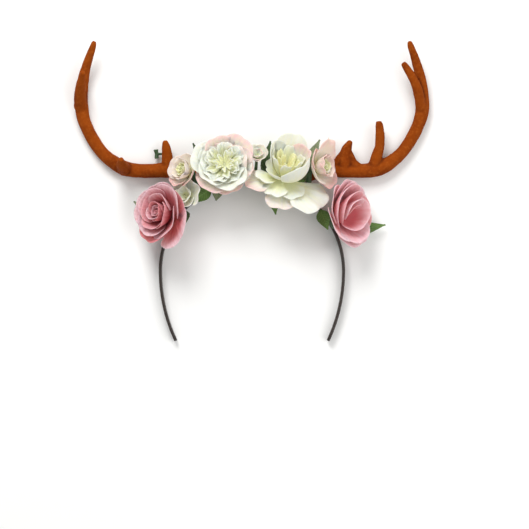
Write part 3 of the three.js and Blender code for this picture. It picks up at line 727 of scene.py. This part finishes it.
def flock_finish(look):
    """Short velvet pile: mottled rust brown that pales where it is rubbed, with painted shade darkening the
    creases between tines.
    """
    tree = Nodes("antler_flock")
    place = tree.add("ShaderNodeTexCoord").outputs["Object"]
    broad = tree.noise(place, 55.0, 4.0)
    fine = tree.noise(place, 420.0, 3.0)
    pile = tree.noise(place, 3200.0, 2.0)
    shade = tree.mix(tree.span(broad, 0.25, 0.6), tuple(look.dark), tuple(look.flock))
    shade = tree.mix(tree.times(tree.span(fine, 0.45, 0.75), 0.5), shade, tuple(look.light))
    # Painted shade: the hollow mask darkens the creases towards the crease colour, standing in for their
    # shadow
    shade = tree.mix(tree.span(tree.kept("hollow"), -0.0002, 0.0005), shade, tuple(look.crease))
    normal = tree.bump(fine, 0.0005, 0.5)
    normal = tree.bump(pile, 0.00025, 0.8, normal)
    return tree.finish(
        Base_Color=shade, Normal=normal, Roughness=0.9, Sheen_Weight=0.02, Sheen_Roughness=0.4,
        Sheen_Tint=(*look.light, 1), Specular_IOR_Level=0.08,
    )


def moulded_green(body):
    """Moulded green of calyxes and stalks, a little mottled."""
    tree = Nodes("calyx_green")
    place = tree.add("ShaderNodeTexCoord").outputs["Object"]
    mottle = tree.noise(place, 260.0)
    shade = tree.mix(tree.span(mottle, 0.3, 0.7), tuple(c * 0.6 for c in body), tuple(body))
    return tree.finish(Base_Color=shade, Normal=tree.bump(mottle, 0.0003, 0.4), Roughness=0.55)


def satin_wrap(body):
    """Dark satin ribbon wound slantwise round the band."""
    tree = Nodes("band_satin")
    place = tree.add("ShaderNodeTexCoord").outputs["Object"]
    height = tree.add("ShaderNodeSeparateXYZ", {"Vector": place}).outputs["Z"]
    slant = tree.sum(tree.times(height, 90.0), tree.times(tree.kept("along"), 220.0))
    turns = tree.add("ShaderNodeMath", {0: slant}, operation="FRACT").outputs[0]
    lap = tree.span(turns, 0.0, 0.12)
    threads = tree.noise(place, 1800.0, 1.0)
    shade = tree.mix(tree.span(threads, 0.3, 0.7), tuple(body), tuple(min(c * 1.8 + 0.004, 1) for c in body))
    normal = tree.bump(lap, 0.0003, 0.7)
    normal = tree.bump(threads, 0.0001, 0.4, normal)
    return tree.finish(Base_Color=shade, Normal=normal, Roughness=0.42, Sheen_Weight=0.15)


def rose_finish(kind):
    """Petal cloth of a kind of flower, made once."""
    tones = bpy.context.scene.headpiece_roses
    rows = {
        "cream": (tones.cream_hub, tones.cream, tones.cream_blush, 0.66, (0.1, 1.0), 0.4),
        "blush": (tones.blush_hub, tones.blush, tones.blush_rim, 0.5, (-0.4, 0.8), 0.3),
        # Painted shade: the pink hub colour darkens the pink roses towards their hubs, and the folded rose
        # takes the plain pink as painted shade near its hub
        "pink": (tones.pink_hub_shade, tones.pink, tones.pink_rim, 0.55, (-0.3, 0.7), 0.35),
        "fold": (tones.pink, tones.fold, tones.pink_rim, 0.55, (-0.3, 0.7), 0.35),
        "heart": (tones.heart, tones.cream_hub, tones.cream, 0.75, (-1.0, -0.5), 0.5),
        "bowl": (tones.bowl, tones.cream_hub, tones.cream, 0.8, (0.0, 0.8), 0.5),
    }
    name = f"{kind}_cloth"
    if name in bpy.data.materials:
        return bpy.data.materials[name]
    hub, body, rim, *limits = rows[kind]
    return petal_cloth(name, tuple(hub), tuple(body), tuple(rim), *limits)


def build_flowers(kinds, cloth, heart_cloth):
    """Petal layers and hearts of every flower of these kinds."""
    for flower in (row for row in FLOWERS if row.kind in kinds):
        chance = random.Random(flower.name)
        rings = ROSES[flower.kind]
        parts = {}
        for n, ring in enumerate(rings):
            trims = flower.trims.get(n, (1,) * ring.petals)
            blush = flower.blush.get(n)
            petals = [petal(flower, ring, trim, blush, chance, number) for number, trim in enumerate(trims)]
            parts.setdefault(ring.part, []).extend(petals)
        for part, petals in parts.items():
            piece = join(petals)
            piece.data.transform(flower_frame(flower))
            settle(piece)
            finish = heart_cloth if part == "heart" else cloth
            dress(piece, f"{flower.name}_{part}", rose_finish(finish))


class HEADPIECE_OT_band(bpy.types.Operator):
    """Spins the strip over the crown and down both legs, then tapers and rounds it"""
    bl_idname = "headpiece.band"
    bl_label = "Hair Band"

    def execute(self, context):
        band = context.scene.headpiece_band
        quarter = math.pi / 2
        deselect()
        bpy.ops.mesh.primitive_plane_add(size=1, rotation=(0, quarter, 0))
        piece = context.object
        edit_all(piece)
        bpy.ops.transform.resize(value=(1, band.thickness, band.crown_width), center_override=(0, 0, 0))
        bpy.ops.transform.translate(value=(0, 0, band.crown_width / 2))
        for side in SIDES.values():
            if side > 0:
                bpy.ops.mesh.select_mode(type="FACE")
                bpy.ops.mesh.select_all(action="DESELECT")
                bpy.ops.object.mode_set(mode="OBJECT")
                for face in piece.data.polygons:
                    world = piece.matrix_world @ face.center
                    face.select = abs(world.x) < 1e-6 and face.area > band.thickness * band.crown_width * 0.9
                bpy.ops.object.mode_set(mode="EDIT")
            bpy.ops.mesh.spin(
                steps=48, angle=side * quarter, center=(0, -band.crown_radius, 0), axis=(0, 0, 1)
            )
            bpy.ops.mesh.spin(
                steps=14, angle=side * band.leg_sweep, axis=(0, 0, 1),
                center=(side * (band.crown_radius - band.leg_radius), -band.crown_radius, 0),
            )
            end, outward, _ = band_place(side * (quarter + band.leg_sweep))
            tip = Vector((outward.y, -outward.x, 0)) * side * band.tip
            bpy.ops.mesh.extrude_region_move(TRANSFORM_OT_translate={"value": tip})
            end += tip + Vector((0, 0, band.crown_width / 2))
            bpy.ops.transform.resize(value=(1, 1, 0.5), center_override=end)
        bpy.ops.object.mode_set(mode="OBJECT")
        settle(piece)
        along = piece.data.attributes.new("along", "FLOAT", "POINT")
        for vertex in piece.data.vertices:
            low = vertex.co.y < -band.crown_radius
            side = math.copysign(1, vertex.co.x)
            centre = Vector((side * (band.crown_radius - band.leg_radius) if low else 0, -band.crown_radius))
            angle = math.atan2(vertex.co.x - centre.x, vertex.co.y - centre.y)
            vertex.co.z *= band_width(angle) / band.crown_width
            along.data[vertex.index].value = angle * band.crown_radius
        use_modifier(
            piece, "BEVEL", width=band.edge, segments=3, limit_method="ANGLE", angle_limit=math.radians(50)
        )
        bpy.ops.object.shade_smooth_by_angle(angle=math.radians(40))
        dress(piece, "headband", satin_wrap(tuple(band.satin)))
        return {"FINISHED"}


class HEADPIECE_OT_antlers(bpy.types.Operator):
    """Extrudes each antler's beam and tines, melts them together and roughens the flocked skin"""
    bl_idname = "headpiece.antlers"
    bl_label = "Antlers"

    def execute(self, context):
        look = context.scene.headpiece_antlers
        finish = flock_finish(look)
        band = context.scene.headpiece_band
        swell = bpy.data.textures.new("antler_swell", "CLOUDS")
        swell.noise_scale = 0.011
        swell.noise_depth = 2
        for word, side in SIDES.items():
            node = f"antler_{word}"
            middle, outward, _ = band_place(side * math.radians(ANTLER_ROOT["angle"]))
            foot = middle + outward * (band.thickness / 2 + SEAT_GAP * MM)
            foot.z = ANTLER_ROOT["lift"] * MM
            radius = ANTLER_ROOT["radius"] * MM
            root = [(foot, radius), (foot + outward * ANTLER_ROOT["rise"] * MM, radius)]
            limbs = [limb(root + stations_of(BEAM, side), steps=60, sides=20)]
            limbs += [limb(stations_of(rows, side), steps=18, sides=16) for rows in TINES[word]]
            piece = join(limbs)
            use_modifier(piece, "REMESH", mode="VOXEL", voxel_size=look.voxel)
            use_modifier(piece, "SMOOTH", factor=0.5, iterations=4)
            use_modifier(
                piece, "DISPLACE", texture=swell, texture_coords="LOCAL",
                strength=look.unevenness, mid_level=0.5,
            )
            lowest = min(vertex.co.z for vertex in piece.data.vertices)
            piece.data.transform(Matrix.Translation((0, 0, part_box(node)[0].z - lowest)))
            settle(piece)
            mark_hollows(piece, rounds=30)
            dress(piece, node, finish)
        return {"FINISHED"}


class HEADPIECE_OT_calyxes(bpy.types.Operator):
    """Extrudes the calyx of every flower: a ball on the band's front edge, a bent stem and a cup"""
    bl_idname = "headpiece.calyxes"
    bl_label = "Calyxes"

    def execute(self, context):
        finish = moulded_green(tuple(context.scene.headpiece_roses.calyx))
        for flower in FLOWERS:
            middle, outward, width = band_place(math.radians(flower.angle))
            foot = middle + outward * CALYX_REACH * MM
            foot.z = width + (SEAT_GAP + flower.ball) * MM
            place = flower_frame(flower)
            hub = ROSES[flower.kind][0].hub * flower.size
            stations = [
                (foot + Vector((0, 0, rise * flower.ball * MM)), radius * flower.ball * MM)
                for rise, radius in CALYX_BALL
            ]
            stations += [
                (place @ Vector((0, 0, -(CALYX_UNDER + SEAT_GAP + drop * hub) * MM)), radius * hub * MM)
                for drop, radius in CALYX_CUP
            ]
            piece = limb(stations, steps=30, sides=20)
            bpy.ops.object.shade_smooth_by_angle(angle=math.radians(50))
            dress(piece, f"{flower.name}_calyx", finish)
        return {"FINISHED"}


class HEADPIECE_OT_cream_roses(bpy.types.Operator):
    """Lays the petals of the two large cream roses and of the two buds"""
    bl_idname = "headpiece.cream_roses"
    bl_label = "Cream Roses and Buds"

    def execute(self, context):
        build_flowers(("cream_open", "bud"), "cream", "heart")
        build_flowers(("cream_cup",), "cream", "bowl")
        return {"FINISHED"}


class HEADPIECE_OT_blush_roses(bpy.types.Operator):
    """Lays the petals of the two small blush roses"""
    bl_idname = "headpiece.blush_roses"
    bl_label = "Blush Roses"

    def execute(self, context):
        build_flowers(("blush",), "blush", "bowl")
        return {"FINISHED"}


class HEADPIECE_OT_pink_roses(bpy.types.Operator):
    """Lays the petals of the two pink roses"""
    bl_idname = "headpiece.pink_roses"
    bl_label = "Pink Roses"

    def execute(self, context):
        build_flowers(("pink",), "pink", "pink")
        build_flowers(("pink_fold",), "fold", "fold")
        return {"FINISHED"}


class HEADPIECE_OT_leaves(bpy.types.Operator):
    """Stamps every leaf from a grid: pointed outline, creased midrib and toothed edge"""
    bl_idname = "headpiece.leaves"
    bl_label = "Leaves"

    def execute(self, context):
        look = context.scene.headpiece_leaves
        finishes = {
            name: leaf_cloth(f"{name}_cloth", tuple(getattr(look, name)))
            for name in ("leaf", "leaf_dark", "leaf_grey")
        }
        for row in LEAVES:
            chance = random.Random(row.name)
            wave = chance.uniform(0, 2 * math.pi)
            deselect()
            bpy.ops.mesh.primitive_grid_add(x_subdivisions=12, y_subdivisions=44, size=2)
            piece = context.object
            for vertex in piece.data.vertices:
                s = vertex.co.x
                t = (vertex.co.y + 1) / 2
                half = max(row.width / 2 * math.sin(math.pi * t ** 0.85), STALK_HALF)
                tooth = 1 - look.bite * ((t * look.teeth) % 1) * abs(s) ** 4
                ripple = 0.03 * row.width * s * s * math.sin(9 * t + wave + s)
                rise = row.arch * math.sin(math.pi * t) + look.crease * half * abs(s) ** 1.4 + ripple
                vertex.co = Vector((s * half * tooth, row.length * t, rise)) * MM
            use_modifier(piece, "SOLIDIFY", thickness=look.wall, offset=0)
            use_modifier(piece, "SUBSURF", levels=1, render_levels=1)
            middle, outward, width = band_place(math.radians(row.angle))
            if row.lift is None:
                middle.z = width + (SEAT_GAP + STALK_SEAT) * MM
            else:
                middle += outward * (context.scene.headpiece_band.thickness / 2 + SEAT_GAP * MM)
                middle.z = row.lift * MM
            turn = Matrix.Rotation(-math.radians(row.heading), 4, "Z")
            pitch = Matrix.Rotation(math.radians(row.pitch), 4, "X")
            piece.data.transform(Matrix.Translation(middle) @ turn @ pitch)
            settle(piece)
            dress(piece, row.name, finishes[row.finish])
        return {"FINISHED"}


class HEADPIECE_OT_sprig(bpy.types.Operator):
    """Extrudes the sprig's stalk and crossbar and melts them together"""
    bl_idname = "headpiece.sprig"
    bl_label = "Sprig"

    def execute(self, context):
        piece = join([limb(stations_of(rows, SIDES["left"]), steps=24, sides=12) for rows in SPRIG])
        use_modifier(piece, "REMESH", mode="VOXEL", voxel_size=0.0003)
        use_modifier(piece, "SMOOTH", factor=0.5, iterations=3)
        settle(piece)
        dress(piece, "sprig_left", bpy.data.materials["calyx_green"])
        return {"FINISHED"}


class HEADPIECE_OT_stage(bpy.types.Operator):
    """Lays the pale floor and sets the soft lights and the camera"""
    bl_idname = "headpiece.stage"
    bl_label = "Stage"

    def execute(self, context):
        look = context.scene.headpiece_stage
        deselect()
        bpy.ops.mesh.primitive_plane_add(size=8, location=(0, 0, -0.0002))
        floor = context.object
        floor.name = "floor"
        tree = Nodes("floor_paper")
        place = tree.add("ShaderNodeTexCoord").outputs["Object"]
        grain = tree.noise(place, 30.0)
        shade = tree.mix(grain, tuple(look.floor), tuple(c * 0.98 for c in look.floor))
        floor.data.materials.append(tree.finish(Base_Color=shade, Roughness=0.9))
        for name, spot, size, power in LIGHTS:
            bpy.ops.object.light_add(type="AREA", location=spot)
            light = context.object
            light.name = f"{name}_light"
            light.data.energy = power
            light.data.size = size
            light.rotation_euler = (-Vector(spot)).to_track_quat("-Z", "Y").to_euler()
        world = bpy.data.worlds.new("studio")
        world.use_nodes = True
        world.node_tree.nodes["Background"].inputs["Color"].default_value = (1, 1, 1, 1)
        world.node_tree.nodes["Background"].inputs["Strength"].default_value = look.daylight
        context.scene.world = world
        bpy.ops.object.camera_add(
            location=(look.camera_x, look.camera_y, look.camera_height), rotation=(0, 0, 0)
        )
        camera = context.object
        camera.name = "photo_camera"
        camera.data.lens = look.lens
        camera.data.sensor_width = look.sensor
        context.scene.camera = camera
        context.scene.view_settings.view_transform = "Standard"
        return {"FINISHED"}


STEPS = (
    HEADPIECE_OT_band,
    HEADPIECE_OT_antlers,
    HEADPIECE_OT_calyxes,
    HEADPIECE_OT_cream_roses,
    HEADPIECE_OT_blush_roses,
    HEADPIECE_OT_pink_roses,
    HEADPIECE_OT_leaves,
    HEADPIECE_OT_sprig,
    HEADPIECE_OT_stage,
)


class HEADPIECE_PT_pieces(bpy.types.Panel):
    """Lists the headpiece's building steps"""
    bl_idname = "HEADPIECE_PT_pieces"
    bl_label = "Headpiece"
    bl_space_type = "VIEW_3D"
    bl_region_type = "UI"
    bl_category = "Headpiece"

    def draw(self, context):
        for step in STEPS:
            self.layout.operator(step.bl_idname)


SETTINGS = {
    "headpiece_band": BandSizes,
    "headpiece_antlers": AntlerLook,
    "headpiece_petals": PetalForm,
    "headpiece_roses": RoseColours,
    "headpiece_leaves": LeafLook,
    "headpiece_stage": StageLook,
}


def register():
    """Adds the settings, steps and panel to Blender."""
    for group in SETTINGS.values():
        bpy.utils.register_class(group)
    for step in (*STEPS, HEADPIECE_PT_pieces):
        bpy.utils.register_class(step)
    for name, group in SETTINGS.items():
        setattr(bpy.types.Scene, name, bpy.props.PointerProperty(type=group))


def unregister():
    """Takes the settings, steps and panel out again."""
    for name in SETTINGS:
        delattr(bpy.types.Scene, name)
    for kind in reversed((*SETTINGS.values(), *STEPS, HEADPIECE_PT_pieces)):
        bpy.utils.unregister_class(kind)


def main():
    """Builds every piece in order."""
    register()
    for step in STEPS:
        family, name = step.bl_idname.split(".")
        getattr(getattr(bpy.ops, family), name)()


if __name__ == "__main__":
    main()
